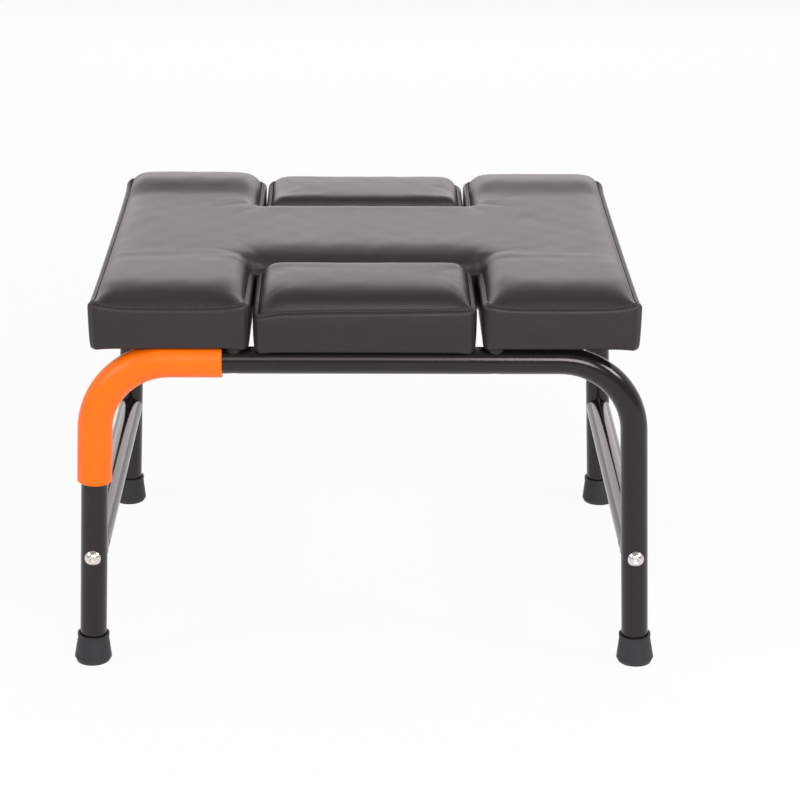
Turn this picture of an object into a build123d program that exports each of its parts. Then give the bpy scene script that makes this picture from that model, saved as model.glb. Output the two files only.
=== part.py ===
from build123d import *
import math
import os

# Yoga headstand stool.
# Two bent tube leg frames, joined by two side stretchers, carry an upholstered seat
# shaped like an H. Its two notches leave room for the head and neck, and two loose
# filler pads close them when the stool is used for sitting.
# Millimetres. Origin on the floor under the middle of the stool, +X to the right seen
# from the front, +Y to the back, +Z up.

# Leg frames
overall_width = 550.0
overall_depth = 430.0
tube_diameter = 25.0
tube_wall = 1.5
bend_radius = 70.0
leg_splay = 2.4

# Feet
foot_diameter = 35.0
foot_top_diameter = 29.0
foot_rim_lip = 0.5
foot_height = 28.0
foot_rim_height = 3.0
foot_sole_height = 6.0
foot_edge_height = 4.0
foot_edge_inset = 2.0
foot_mouth_bevel = 0.8
tread_groove_depth = 1.5
tread_groove_width = 2.0
tread_groove_radii = (7.0, 12.5)
foot_washer_thickness = 1.5
foot_washer_clearance = 0.5

# Side stretchers and their bolts
stretcher_height = 110.0
stretcher_mouth_trim = 4.5
vent_hole_diameter = 5.0
vent_hole_setback = 11.0
insert_length = 18.0
frame_bolt_diameter = 8.0
frame_bolt_head_diameter = 15.0
frame_bolt_head_height = 4.6
frame_bolt_socket = 5.0
frame_bolt_socket_depth = 2.8
frame_bolt_reach = 14.0
bolt_hole_clearance = 0.5

# Orange grip sleeve round the front left bend
sleeve_wall = 3.6
sleeve_spacer_gap = 1.5
sleeve_low_end = 183.0
sleeve_edge_radius = 1.2

# Seat
seat_edge_height = 360.0
seat_side_overhang = 4.4
seat_end_overhang = 1.0
seat_side_height = 42.0
notch_width = 212.0
strip_depth = 184.0
crown_height = 11.0
crown_spread = 0.55
crown_middle_spread = 0.75
crown_middle_rise = 0.4
cushion_corner_radius = 9.0
corner_share_limit = 0.9
side_bulge = 1.6
side_draw_in = 0.006
hem_radius = 5.5
cover_thickness = 1.0
hem_width = 30.0
board_thickness = 12.0
cloth_thickness = 0.6
cloth_overlap = 3.0
side_steps = 3
crown_steps = 4
hem_steps = 2

# Seat fastening
spacer_thickness = 4.0
spacer_diameter = 18.0
spacer_edge_distance = 13.0
cloth_hole_clearance = 1.0
seat_bolt_diameter = 6.0
seat_bolt_head_diameter = 12.0
seat_bolt_head_height = 3.3
seat_bolt_socket = 4.0
seat_bolt_socket_depth = 2.0
seat_bolt_end_gap = 1.0
seat_bolt_access_clearance = 1.5
seat_bolt_bore_clearance = 0.05
tee_nut_barrel_diameter = 8.4
tee_nut_barrel_depth = 9.0
tee_nut_flange_diameter = 18.0
tee_nut_flange_thickness = 1.4
tee_nut_pocket_clearance = 0.4

# Filler pads
filler_gap = 4.8
filler_rest_gap = 0.3
filler_side_height = 38.8
filler_crown_height = 11.5
filler_board_thickness = 9.0
peg_x = 60.0
peg_diameter = 8.0
peg_hole_clearance = 1.0
peg_reach = 9.0
peg_tip_radius = 2.5
peg_stem_diameter = 5.0
peg_stem_depth = 7.0

# Joggled steel ledges under the seat's middle strip, which carry the fillers' inner edges
ledge_width = 150.0
ledge_thickness = 2.5
ledge_reach = 18.0
ledge_cloth_clearance = 1.0
ledge_joggle_setback = 4.0
ledge_corner_radius = 8.0
ledge_screw_pitch = 55.0
ledge_screw_count = 3
screw_diameter = 4.0
screw_head_diameter = 8.0
screw_head_height = 2.4
screw_depth = 9.0

# Places worked out from the sizes above
tube_radius = tube_diameter / 2
tube_bore_radius = tube_radius - tube_wall
foot_x = (overall_width - foot_diameter) / 2
frame_y = (overall_depth - foot_diameter) / 2
splay_tangent = math.tan(math.radians(leg_splay))
seat_bottom = seat_edge_height - seat_side_height
run_height = seat_bottom - spacer_thickness - tube_radius
seat_width = 2 * (foot_x - run_height * splay_tangent + seat_side_overhang)
seat_depth = 2 * (frame_y + tube_radius + seat_end_overhang)
tube_top = run_height + tube_radius
seat_board_bottom = seat_bottom + cover_thickness
seat_board_top = seat_board_bottom + board_thickness
filler_bottom = tube_top + filler_rest_gap
filler_edge_height = filler_bottom + filler_side_height
filler_width = notch_width - 2 * filler_gap
filler_inner_edge = strip_depth / 2 + filler_gap
filler_board_bottom = filler_bottom + cover_thickness
filler_depth = seat_depth / 2 - filler_inner_edge
seat_limb = min((seat_width - notch_width) / 2, strip_depth)
seat_bolt_x = notch_width / 2 + spacer_edge_distance
sleeve_run_end = seat_bolt_x + spacer_diameter / 2 + sleeve_spacer_gap
ledge_back = strip_depth / 2 - (hem_width - cloth_overlap) + ledge_cloth_clearance
ledge_bend = strip_depth / 2 - ledge_joggle_setback
ledge_front = filler_inner_edge + ledge_reach
ledge_screw_y = (ledge_back + ledge_bend) / 2
frame_bolt_hole = frame_bolt_diameter + bolt_hole_clearance
seat_bolt_hole = seat_bolt_diameter + bolt_hole_clearance
seat_bolt_access = seat_bolt_head_diameter + seat_bolt_access_clearance


def leg_x(height):
    """Distance of a leg's centre line from the middle of the stool at a height."""
    return foot_x - height * splay_tangent


def rod(start, end, radius):
    """Solid round bar from one point to another."""
    line = Line(start, end)
    return sweep(Plane(origin=line @ 0, z_dir=line % 0) * Circle(radius), path=line)


def tube_along(path, outer_radius, inner_radius):
    """Tube that follows a path."""
    start = Plane(origin=path @ 0, z_dir=path % 0)
    return sweep(start * (Circle(outer_radius) - Circle(inner_radius)), path=path)


def leg_plane(side, end):
    """Plane across a leg where its centre line meets the floor, facing up the leg."""
    return Plane(
        origin=(side * foot_x, end * frame_y, 0),
        x_dir=(1, 0, side * splay_tangent),
        z_dir=(-side * splay_tangent, 0, 1),
    )


def frame_corners(end):
    """The four corners of a leg frame's centre line, before its bends."""
    tube_end = leg_plane(1, end).location * Location((0, 0, foot_sole_height))
    low = tube_end.position
    high_x = leg_x(run_height)
    y = end * frame_y
    return [
        (-low.X, y, low.Z),
        (-high_x, y, run_height),
        (high_x, y, run_height),
        (low.X, y, low.Z),
    ]


def leg_frame(end):
    """One bent tube frame with its bolt holes and the holes for the filler's pegs."""
    y = end * frame_y
    path = FilletPolyline(*frame_corners(end), radius=bend_radius)
    frame = tube_along(path, tube_radius, tube_bore_radius)
    for side in (-1, 1):
        x = side * leg_x(stretcher_height)
        across = tube_radius + 1
        frame -= rod((x, y - across, stretcher_height), (x, y + across, stretcher_height),
                     frame_bolt_hole / 2)
        bolt_x = side * seat_bolt_x
        frame -= rod((bolt_x, y, run_height), (bolt_x, y, run_height + across),
                     seat_bolt_hole / 2)
        frame -= rod((bolt_x, y, run_height - across), (bolt_x, y, run_height),
                     seat_bolt_access / 2)
        frame -= rod((side * peg_x, y, run_height), (side * peg_x, y, run_height + across),
                     (peg_diameter + peg_hole_clearance) / 2)
    return frame


def foot_profile():
    """Half section of a ferrule foot, out from the leg's centre line and up it."""
    below_floor = -4.0
    socket_floor = foot_sole_height - foot_washer_thickness
    outer = foot_diameter / 2
    top = foot_top_diameter / 2
    rim_start = foot_height - foot_rim_height
    return make_face(Polyline(
        (0, socket_floor),
        (0, below_floor),
        (outer - foot_edge_inset, below_floor),
        (outer - foot_edge_inset, 0),
        (outer, foot_edge_height),
        (top, rim_start),
        (top + foot_rim_lip, rim_start + foot_rim_lip),
        (top + foot_rim_lip, foot_height),
        (tube_radius + foot_mouth_bevel, foot_height),
        (tube_radius, foot_height - foot_mouth_bevel),
        (tube_radius, socket_floor),
        close=True,
    ))


def foot(side, end):
    """Flared rubber foot pushed over a leg, cut flat where it stands on the floor."""
    axis_plane = leg_plane(side, end)
    section = Plane(origin=axis_plane.origin, x_dir=axis_plane.x_dir, z_dir=-axis_plane.y_dir)
    body = revolve(section * foot_profile(), axis=Axis(axis_plane.origin, axis_plane.z_dir))
    centre = Pos(side * foot_x, end * frame_y, 0)
    floor_cut = centre * Cylinder(foot_diameter, 20, align=(Align.CENTER, Align.CENTER, Align.MAX))
    body -= floor_cut
    for radius in tread_groove_radii:
        ring = Circle(radius + tread_groove_width / 2) - Circle(radius - tread_groove_width / 2)
        body -= centre * extrude(ring, tread_groove_depth)
    return body


def foot_washer(side, end):
    """Steel disc in a foot, which keeps the tube's end from cutting through the rubber."""
    bottom = leg_plane(side, end).offset(foot_sole_height - foot_washer_thickness)
    disc = Circle(tube_radius - foot_washer_clearance)
    return extrude(bottom * disc, foot_washer_thickness)


def stretcher(side):
    """Side tube whose ends are mouthed to sit round the legs, with a vent hole."""
    x = side * leg_x(stretcher_height)
    half_length = frame_y - stretcher_mouth_trim
    path = Line((x, -half_length, stretcher_height), (x, half_length, stretcher_height))
    bar = tube_along(path, tube_radius, tube_bore_radius)
    for end in (-1, 1):
        leg = leg_plane(side, end) * Cylinder(
            tube_radius, 2 * stretcher_height, align=(Align.CENTER, Align.CENTER, Align.MIN))
        bar -= leg
    hole_y = -frame_y + tube_radius + vent_hole_setback
    bar -= rod((x, hole_y, stretcher_height), (x - side * tube_diameter, hole_y, stretcher_height),
               vent_hole_diameter / 2)
    return bar


def stretcher_insert(side, end):
    """Threaded plug in the end of a stretcher, which takes the frame bolt."""
    x = side * leg_x(stretcher_height)
    outer_y = end * (frame_y - tube_radius)
    inner_y = outer_y - end * insert_length
    start, stop = (x, outer_y, stretcher_height), (x, inner_y, stretcher_height)
    plug = rod(start, stop, tube_bore_radius) - rod(start, stop, frame_bolt_diameter / 2)
    if end < 0:
        hole_y = -frame_y + tube_radius + vent_hole_setback
        plug -= rod((x, hole_y, stretcher_height),
                    (x - side * tube_diameter, hole_y, stretcher_height), vent_hole_diameter / 2)
    return plug


def button_bolt(head_diameter, head_height, shank_diameter, length, socket, socket_depth):
    """Domed socket bolt, its head standing up from the XY plane and its shank below it."""
    head_radius = head_diameter / 2
    rim = head_height * 0.22
    dome_mid = (head_radius * 0.72, head_height * 0.78)
    section = make_face([
        Polyline((0, head_height), (0, -length), (shank_diameter / 2, -length),
                 (shank_diameter / 2, 0), (head_radius, 0), (head_radius, rim)),
        ThreePointArc((head_radius, rim), dome_mid, (socket * 0.75, head_height)),
        Line((socket * 0.75, head_height), (0, head_height)),
    ])
    bolt = revolve(Plane.XZ * section, axis=Axis.Z)
    hexagon = RegularPolygon(socket / 2, 6, major_radius=False)
    return bolt - Pos(0, 0, head_height - socket_depth) * extrude(hexagon, socket_depth)


def frame_bolt(side, end):
    """Bolt through a leg into the stretcher's threaded plug."""
    length = tube_diameter + frame_bolt_reach
    bolt = button_bolt(frame_bolt_head_diameter, frame_bolt_head_height, frame_bolt_diameter,
                       length, frame_bolt_socket, frame_bolt_socket_depth)
    seat = Plane(origin=(side * leg_x(stretcher_height), end * (frame_y + tube_radius),
                         stretcher_height),
                 x_dir=(1, 0, 0), z_dir=(0, end, 0))
    return seat * bolt


def grip_sleeve():
    """Soft sleeve over the front left bend, from under the seat to halfway down the leg."""
    y = -frame_y
    path = FilletPolyline(
        (-sleeve_run_end, y, run_height),
        (-leg_x(run_height), y, run_height),
        (-leg_x(sleeve_low_end), y, sleeve_low_end),
        radius=bend_radius,
    )
    sleeve = tube_along(path, tube_radius + sleeve_wall, tube_radius)
    outer_rims = [edge for edge in sleeve.edges().filter_by(GeomType.CIRCLE)
                  if abs(edge.radius - tube_radius - sleeve_wall) < 0.01
                  and edge.arc_center in (path @ 0, path @ 1)]
    if outer_rims:
        sleeve = fillet(outer_rims, sleeve_edge_radius)
    return sleeve


def seat_outline(inset):
    """Corners of the H, anticlockwise, moved inwards by an inset."""
    x = seat_width / 2 - inset
    y = seat_depth / 2 - inset
    notch = notch_width / 2 + inset
    strip = strip_depth / 2 - inset
    return [(x, -y), (x, y), (notch, y), (notch, strip), (-notch, strip), (-notch, y),
            (-x, y), (-x, -y), (-notch, -y), (-notch, -strip), (notch, -strip), (notch, -y)]


def filler_outline(end):
    """Corners of one filler pad, anticlockwise, as a function of the inset."""
    def corners(inset):
        x = filler_width / 2 - inset
        near = end * (filler_inner_edge + inset)
        far = end * (seat_depth / 2 - inset)
        low, high = min(near, far), max(near, far)
        return [(x, low), (x, high), (-x, high), (-x, low)]
    return corners


def cushion_face(corners, inset):
    """Flat face of a cushion at one inset, its sides drawn in between rounded corners."""
    points = corners(inset)
    sides = []
    for start, end in zip(points, points[1:] + points[:1]):
        across_x, across_y = end[0] - start[0], end[1] - start[1]
        middle = ((start[0] + end[0]) / 2 - across_y * side_draw_in,
                  (start[1] + end[1]) / 2 + across_x * side_draw_in)
        sides.append(ThreePointArc(start, middle, end))
    face = make_face(sides)
    shortest = min(side.length for side in sides)
    radius = min(cushion_corner_radius, corner_share_limit * shortest / 2)
    return fillet(face.vertices(), radius)


def cushion(corners, limb, bottom, edge_height, crown, skin):
    """Padded form inside a skin: rolled hem, bulging sides, drawn-in seam and crown."""
    side_height = edge_height - bottom
    reach = limb / 2 - side_bulge
    levels = []
    for step in range(hem_steps):
        angle = math.radians(90 * step / hem_steps)
        rise = hem_radius * (1 - math.cos(angle))
        levels.append((bottom + rise, hem_radius * (1 - math.sin(angle)), rise))
    for step in range(side_steps + 1):
        rise = hem_radius + (side_height - hem_radius) * step / side_steps
        levels.append((bottom + rise, 0.0, rise))
    sections = []
    for height, hem_inset, rise in levels:
        bulge = side_bulge * (2 * rise / side_height - 1) ** 2
        sections.append((max(height, bottom + skin), hem_inset + bulge))
    for step in range(1, crown_steps + 1):
        share = step / crown_steps
        sections.append((edge_height + crown * (1 - (1 - share) ** 2),
                         side_bulge + reach * crown_spread * share))
    sections.append((edge_height + crown + crown_middle_rise,
                     side_bulge + reach * crown_middle_spread))
    faces = []
    for height, inset in sections:
        top_drop = skin if height > edge_height else 0.0
        faces.append(Pos(0, 0, height - top_drop) * cushion_face(corners, inset + skin))
    return loft(faces, ruled=True)


def padded_parts(corners, limb, bottom, edge_height, crown, board):
    """Board, foam, cover and underside cloth of one pad."""
    outer = cushion(corners, limb, bottom, edge_height, crown, 0.0)
    inner = cushion(corners, limb, bottom, edge_height, crown, cover_thickness)
    board_top = bottom + cover_thickness + board
    depth = edge_height
    below = Pos(0, 0, board_top) * Box(2 * seat_width, 2 * seat_depth, depth,
                                       align=(Align.CENTER, Align.CENTER, Align.MAX))
    inside_hem = cushion_face(corners, hem_width)
    cover = outer - inner - Pos(0, 0, bottom) * extrude(inside_hem, cover_thickness)
    cloth_face = cushion_face(corners, hem_width - cloth_overlap)
    cloth = Pos(0, 0, bottom - cloth_thickness) * extrude(cloth_face, cloth_thickness)
    return {"board": inner & below, "foam": inner - below, "cover": cover, "cloth": cloth}


def seat_bolt_places():
    """Middles of the four bolts that hold the seat down on the two frames."""
    return [(side * seat_bolt_x, end * frame_y) for end in (-1, 1) for side in (-1, 1)]


def upright(x, y, bottom, top, diameter):
    """Vertical round bar between two heights."""
    return rod((x, y, bottom), (x, y, top), diameter / 2)


def saddle_spacer(x, y):
    """Washer between a frame and the seat, hollowed to sit on the round tube."""
    ring = upright(x, y, run_height, seat_bottom, spacer_diameter)
    ring -= upright(x, y, run_height, seat_bottom, seat_bolt_hole)
    reach = spacer_diameter
    return ring - rod((x - reach, y, run_height), (x + reach, y, run_height), tube_radius)


def seat_bolt(x, y):
    """Bolt up into a tee nut, its head inside the tube against the upper wall."""
    head_rise = math.sqrt(tube_bore_radius ** 2 - (seat_bolt_head_diameter / 2) ** 2)
    head_seat = run_height + head_rise - seat_bolt_bore_clearance
    length = seat_board_top - seat_bolt_end_gap - head_seat
    bolt = button_bolt(seat_bolt_head_diameter, seat_bolt_head_height, seat_bolt_diameter,
                       length, seat_bolt_socket, seat_bolt_socket_depth)
    return Plane(origin=(x, y, head_seat), x_dir=(1, 0, 0), z_dir=(0, 0, -1)) * bolt


def tee_nut(x, y):
    """Tee nut pressed into the board from above."""
    flange_top = seat_board_top + tee_nut_flange_thickness
    nut = upright(x, y, seat_board_top, flange_top, tee_nut_flange_diameter)
    nut += upright(x, y, seat_board_top - tee_nut_barrel_depth, seat_board_top,
                   tee_nut_barrel_diameter)
    return nut - upright(x, y, seat_board_top - tee_nut_barrel_depth, flange_top,
                         seat_bolt_diameter)


def fit_seat(seat):
    """Cut the seat's parts for its bolts, tee nuts and ledge screws."""
    for x, y in seat_bolt_places():
        seat["board"] -= upright(x, y, seat_board_bottom, seat_board_top, tee_nut_barrel_diameter)
        seat["cover"] -= upright(x, y, seat_bottom, seat_board_bottom, seat_bolt_hole)
        seat["cloth"] -= upright(x, y, seat_bottom - cloth_thickness, seat_bottom,
                                 spacer_diameter + 2 * cloth_hole_clearance)
        pocket_top = seat_board_top + tee_nut_flange_thickness + tee_nut_pocket_clearance
        seat["foam"] -= upright(x, y, seat_board_top, pocket_top,
                                tee_nut_flange_diameter + 2 * tee_nut_pocket_clearance)
    for end in (-1, 1):
        for x, y in ledge_screw_places(end):
            shank = upright(x, y, seat_bottom, seat_bottom + screw_depth, screw_diameter)
            seat["board"] -= shank
            seat["cover"] -= shank


def peg(x, y):
    """Round-ended peg under a filler pad, which drops into a hole in the frame."""
    low = filler_bottom - peg_reach
    body = upright(x, y, low, filler_board_bottom, peg_diameter)
    tip = body.edges().filter_by(GeomType.CIRCLE).group_by(Axis.Z)[0]
    body = fillet(tip, peg_tip_radius)
    return body + upright(x, y, filler_board_bottom, filler_board_bottom + peg_stem_depth,
                          peg_stem_diameter)


def fit_filler(filler, end):
    """Cut a filler's parts for its pegs."""
    for side in (-1, 1):
        x, y = side * peg_x, end * frame_y
        filler["board"] -= upright(x, y, filler_board_bottom, filler_board_bottom + peg_stem_depth,
                                   peg_stem_diameter)
        filler["cover"] -= upright(x, y, filler_bottom, filler_board_bottom, peg_diameter)
        filler["cloth"] -= upright(x, y, filler_bottom - cloth_thickness, filler_bottom,
                                   peg_diameter + 2 * cloth_hole_clearance)


def ledge_screw_places(end):
    """Middles of the screws that hold one ledge."""
    first = -(ledge_screw_count - 1) / 2
    return [((first + step) * ledge_screw_pitch, end * ledge_screw_y)
            for step in range(ledge_screw_count)]


def ledge(end):
    """Steel strip joggled down from the seat's underside to the filler's."""
    high, low = seat_bottom, filler_bottom - filler_rest_gap
    joggle_end = ledge_bend + ledge_joggle_setback
    slope = math.atan2(high - low, joggle_end - ledge_bend)
    shift = ledge_thickness * math.tan(slope / 2)
    outline = [
        (ledge_back, high), (ledge_bend, high), (joggle_end, low), (ledge_front, low),
        (ledge_front, low - ledge_thickness), (joggle_end - shift, low - ledge_thickness),
        (ledge_bend - shift, high - ledge_thickness), (ledge_back, high - ledge_thickness),
    ]
    section = make_face(Polyline(*[(end * y, z) for y, z in outline], close=True))
    strip = extrude(Plane.YZ * section, ledge_width / 2, both=True)
    corners = strip.edges().filter_by(Axis.Z).group_by(Axis.Y)[0 if end < 0 else -1]
    strip = fillet(corners, ledge_corner_radius)
    for x, y in ledge_screw_places(end):
        strip -= upright(x, y, high - ledge_thickness, high, screw_diameter)
    return strip


def ledge_screw(x, y):
    """Pan head screw up through a ledge into the board."""
    seat = seat_bottom - ledge_thickness
    section = make_face([
        Polyline((0, screw_head_height), (0, -ledge_thickness - screw_depth),
                 (screw_diameter / 2, screw_diameter - ledge_thickness - screw_depth),
                 (screw_diameter / 2, 0), (screw_head_diameter / 2, 0)),
        ThreePointArc((screw_head_diameter / 2, 0),
                      (screw_head_diameter * 0.36, screw_head_height * 0.75),
                      (0, screw_head_height)),
    ])
    screw = revolve(Plane.XZ * section, axis=Axis.Z)
    slot = Pos(0, 0, screw_head_height) * Box(screw_head_diameter * 0.55, 1.0, 2.0)
    cross = slot + Rot(0, 0, 90) * slot
    return Plane(origin=(x, y, seat), x_dir=(1, 0, 0), z_dir=(0, 0, -1)) * (screw - cross)


def write(name, shape):
    """Write one sub-part, its solids side by side in one file."""
    solids = shape if isinstance(shape, list) else [shape]
    parts = [solid for item in solids for solid in item.solids()]
    body = parts[0] if len(parts) == 1 else Compound(children=parts)
    body.label = name
    export_step(body, f"parts/{name}.step")


def main():
    os.makedirs("parts", exist_ok=True)
    seat = padded_parts(seat_outline, seat_limb, seat_bottom, seat_edge_height, crown_height,
                        board_thickness)
    fit_seat(seat)
    for name, solid in seat.items():
        write(f"seat_{name}", solid)
    write("saddle_spacers", [saddle_spacer(x, y) for x, y in seat_bolt_places()])
    write("seat_bolts", [seat_bolt(x, y) for x, y in seat_bolt_places()])
    write("tee_nuts", [tee_nut(x, y) for x, y in seat_bolt_places()])
    for end, place in ((-1, "front"), (1, "rear")):
        write(f"{place}_leg_frame", leg_frame(end))
        filler = padded_parts(filler_outline(end), filler_depth, filler_bottom,
                              filler_edge_height, filler_crown_height, filler_board_thickness)
        fit_filler(filler, end)
        for name, solid in filler.items():
            write(f"{place}_filler_{name}", solid)
        write(f"{place}_filler_pegs", [peg(side * peg_x, end * frame_y) for side in (-1, 1)])
        write(f"{place}_ledge", ledge(end))
        write(f"{place}_ledge_screws", [ledge_screw(x, y) for x, y in ledge_screw_places(end)])
        write(f"{place}_frame_bolts", [frame_bolt(side, end) for side in (-1, 1)])
        for side, hand in ((-1, "left"), (1, "right")):
            write(f"{place}_{hand}_foot", foot(side, end))
    for side, hand in ((-1, "left"), (1, "right")):
        write(f"{hand}_stretcher", stretcher(side))
        write(f"{hand}_stretcher_inserts", [stretcher_insert(side, end) for end in (-1, 1)])
    write("foot_washers", [foot_washer(side, end) for side in (-1, 1) for end in (-1, 1)])
    write("grip_sleeve", grip_sleeve())


main()
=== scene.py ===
"""Yoga headstand stool: upholstery, finishes and studio, laid out as a Blender add-on."""

import math

import bmesh
import bpy
import numpy as np
from mathutils import Matrix, Vector
from mathutils.geometry import delaunay_2d_cdt


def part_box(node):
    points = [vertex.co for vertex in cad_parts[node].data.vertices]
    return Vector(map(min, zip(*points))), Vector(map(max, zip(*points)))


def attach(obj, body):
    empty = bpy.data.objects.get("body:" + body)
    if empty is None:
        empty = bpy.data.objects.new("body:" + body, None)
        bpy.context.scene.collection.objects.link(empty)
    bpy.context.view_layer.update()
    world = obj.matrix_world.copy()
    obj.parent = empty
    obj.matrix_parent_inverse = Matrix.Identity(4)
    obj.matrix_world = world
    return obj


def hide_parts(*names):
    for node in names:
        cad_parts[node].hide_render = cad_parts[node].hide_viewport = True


bl_info = {
    "name": "Yoga Headstand Stool",
    "version": (1, 0, 0),
    "blender": (4, 5, 0),
    "location": "3D View > Sidebar > Stool",
    "description": "Upholstered pads, finishes and a plain studio for a headstand stool",
    "category": "Object",
}

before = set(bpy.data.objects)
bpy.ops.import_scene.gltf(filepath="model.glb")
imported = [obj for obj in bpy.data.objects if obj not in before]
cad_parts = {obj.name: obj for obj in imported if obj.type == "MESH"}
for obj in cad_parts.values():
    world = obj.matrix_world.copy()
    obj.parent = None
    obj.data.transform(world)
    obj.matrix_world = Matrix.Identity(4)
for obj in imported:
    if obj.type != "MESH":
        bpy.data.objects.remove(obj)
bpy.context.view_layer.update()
FILLER_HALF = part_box("front_filler_board")[1].x + 0.0008


# ---------------------------------------------------------------- user's sizes and colours
class PadSettings(bpy.types.PropertyGroup):
    """Sizes of the upholstered pads."""

    seam_height: bpy.props.FloatProperty(
        name="Seam height", description="Height of the seat's seam midway between corners",
        default=0.3535, unit="LENGTH")
    crown_height: bpy.props.FloatProperty(
        name="Crown height", description="Height of the seat's flat top",
        default=0.3698, unit="LENGTH")
    end_rise: bpy.props.FloatProperty(
        name="End rise", description="How much fuller the seat's rear ends are than its middle",
        default=0.0066, unit="LENGTH")
    corner_raise: bpy.props.FloatProperty(
        name="Corner raise", description="How far the seam climbs at the seat's outer corners",
        default=0.007, unit="LENGTH")
    roll_off: bpy.props.FloatProperty(
        name="Roll-off", description="How far in from the seam the top curves over",
        default=0.0055, unit="LENGTH")
    corner_radius: bpy.props.FloatProperty(
        name="Corner radius", description="Radius of the pads' upright corners",
        default=0.008, unit="LENGTH")
    filler_seam: bpy.props.FloatProperty(
        name="Filler seam", description="Height of the filler pads' seam",
        default=0.3528, unit="LENGTH")
    filler_crown: bpy.props.FloatProperty(
        name="Filler crown", description="Height of the filler pads' flat top",
        default=0.3686, unit="LENGTH")
    slit: bpy.props.FloatProperty(
        name="Slit", description="Gap between the seat's cover and a filler pad's cover",
        default=0.0043, unit="LENGTH")
    wide_slit: bpy.props.FloatProperty(
        name="Wide slit", description="Gap on the right of the front filler pad",
        default=0.0065, unit="LENGTH")
    droop: bpy.props.FloatProperty(
        name="Edge droop", description="How far the pads' lower edges hang below their boards",
        default=0.0029, unit="LENGTH")
    pressure: bpy.props.FloatProperty(
        name="Stuffing pressure", description="Pressure of the cloth simulation that fills the pads",
        default=4.0)
    swell_limit: bpy.props.FloatProperty(
        name="Swell limit", description="The most that stuffing moves a point of the cover",
        default=0.005, unit="LENGTH")


class SeamSettings(bpy.types.PropertyGroup):
    """Sizes of the stitching."""

    pitch: bpy.props.FloatProperty(
        name="Stitch pitch", description="Distance from one stitch to the next",
        default=0.0036, unit="LENGTH")
    length: bpy.props.FloatProperty(
        name="Stitch length", description="Visible length of one stitch",
        default=0.0025, unit="LENGTH")
    thread: bpy.props.FloatProperty(
        name="Thread thickness", description="Thickness of the sewing thread",
        default=0.0006, unit="LENGTH")
    welt: bpy.props.FloatProperty(
        name="Welt thickness", description="Thickness of the sewn fold along a seam",
        default=0.0014, unit="LENGTH")
    staple_pitch: bpy.props.FloatProperty(
        name="Staple pitch", description="Distance between the staples of the underside cloth",
        default=0.032, unit="LENGTH")


class FinishSettings(bpy.types.PropertyGroup):
    """Colours of the stool."""

    leather: bpy.props.FloatVectorProperty(
        name="Leather", description="Colour of the synthetic leather",
        subtype="COLOR", size=3, default=(0.019, 0.0172, 0.0182))
    paint: bpy.props.FloatVectorProperty(
        name="Frame paint", description="Colour of the tube's gloss paint",
        subtype="COLOR", size=3, default=(0.0075, 0.0064, 0.0062))
    sleeve: bpy.props.FloatVectorProperty(
        name="Grip sleeve", description="Colour of the sleeve round the front left bend",
        subtype="COLOR", size=3, default=(1.0, 0.172, 0.0))
    rubber: bpy.props.FloatVectorProperty(
        name="Feet", description="Colour of the rubber feet",
        subtype="COLOR", size=3, default=(0.022, 0.022, 0.025))
    nickel: bpy.props.FloatVectorProperty(
        name="Frame bolts", description="Colour of the plated bolts",
        subtype="COLOR", size=3, default=(0.78, 0.74, 0.70))
    zinc: bpy.props.FloatVectorProperty(
        name="Hidden steel", description="Colour of zinc-plated screws and nuts",
        subtype="COLOR", size=3, default=(0.55, 0.56, 0.58))
    ply: bpy.props.FloatVectorProperty(
        name="Plywood", description="Colour of the boards in the pads",
        subtype="COLOR", size=3, default=(0.50, 0.33, 0.18))
    cloth: bpy.props.FloatVectorProperty(
        name="Underside cloth", description="Colour of the non-woven cloth",
        subtype="COLOR", size=3, default=(0.016, 0.016, 0.017))


class StudioSettings(bpy.types.PropertyGroup):
    """Camera, lamps and floor."""

    camera_distance: bpy.props.FloatProperty(
        name="Camera distance", description="How far in front of the stool the camera stands",
        default=2.3502, unit="LENGTH")
    camera_height: bpy.props.FloatProperty(
        name="Camera height", description="Height of the camera above the floor",
        default=1.0609, unit="LENGTH")
    camera_pitch: bpy.props.FloatProperty(
        name="Camera pitch", description="How far the camera looks down",
        default=math.radians(20.34), unit="ROTATION")
    camera_lens: bpy.props.FloatProperty(
        name="Focal length", description="Focal length on a 36 mm wide sensor, in millimetres",
        default=112.886)
    floor_colour: bpy.props.FloatVectorProperty(
        name="Floor", description="Colour of the floor",
        subtype="COLOR", size=3, default=(0.9, 0.9, 0.9))
    sky_level: bpy.props.FloatProperty(
        name="Sky level", description="Soft light from all round", default=0.43)
    front_level: bpy.props.FloatProperty(
        name="Front level", description="Brightness of the room behind the camera in reflections",
        default=0.45)
    lamp_level: bpy.props.FloatProperty(
        name="Lamp level", description="Multiplier of the studio lamps", default=1.0)


# ---------------------------------------------------------------- shader helpers
class Value:
    """A socket with the usual arithmetic; each operation adds a Math node."""

    def __init__(self, shader, socket):
        self.shader = shader
        self.socket = socket

    def math(self, operation, *others):
        return self.shader.node("ShaderNodeMath", {"operation": operation},
                                {i: v for i, v in enumerate((self,) + others)})

    def __add__(self, other):
        return self.math("ADD", other)

    __radd__ = __add__

    def __mul__(self, other):
        return self.math("MULTIPLY", other)

    __rmul__ = __mul__

    def __sub__(self, other):
        return self.math("SUBTRACT", other)

    def __rsub__(self, other):
        return self.shader.node("ShaderNodeMath", {"operation": "SUBTRACT"}, {0: other, 1: self})

    def __truediv__(self, other):
        return self.math("DIVIDE", other)

    def __rtruediv__(self, other):
        return self.shader.node("ShaderNodeMath", {"operation": "DIVIDE"}, {0: other, 1: self})

    def __pow__(self, other):
        return self.math("POWER", other)

    def step(self, low, high):
        """0 below low, 1 above high, smooth between."""
        return self.shader.node(
            "ShaderNodeMapRange", {"interpolation_type": "SMOOTHSTEP"},
            {"Value": self, "From Min": low, "From Max": high})


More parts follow.
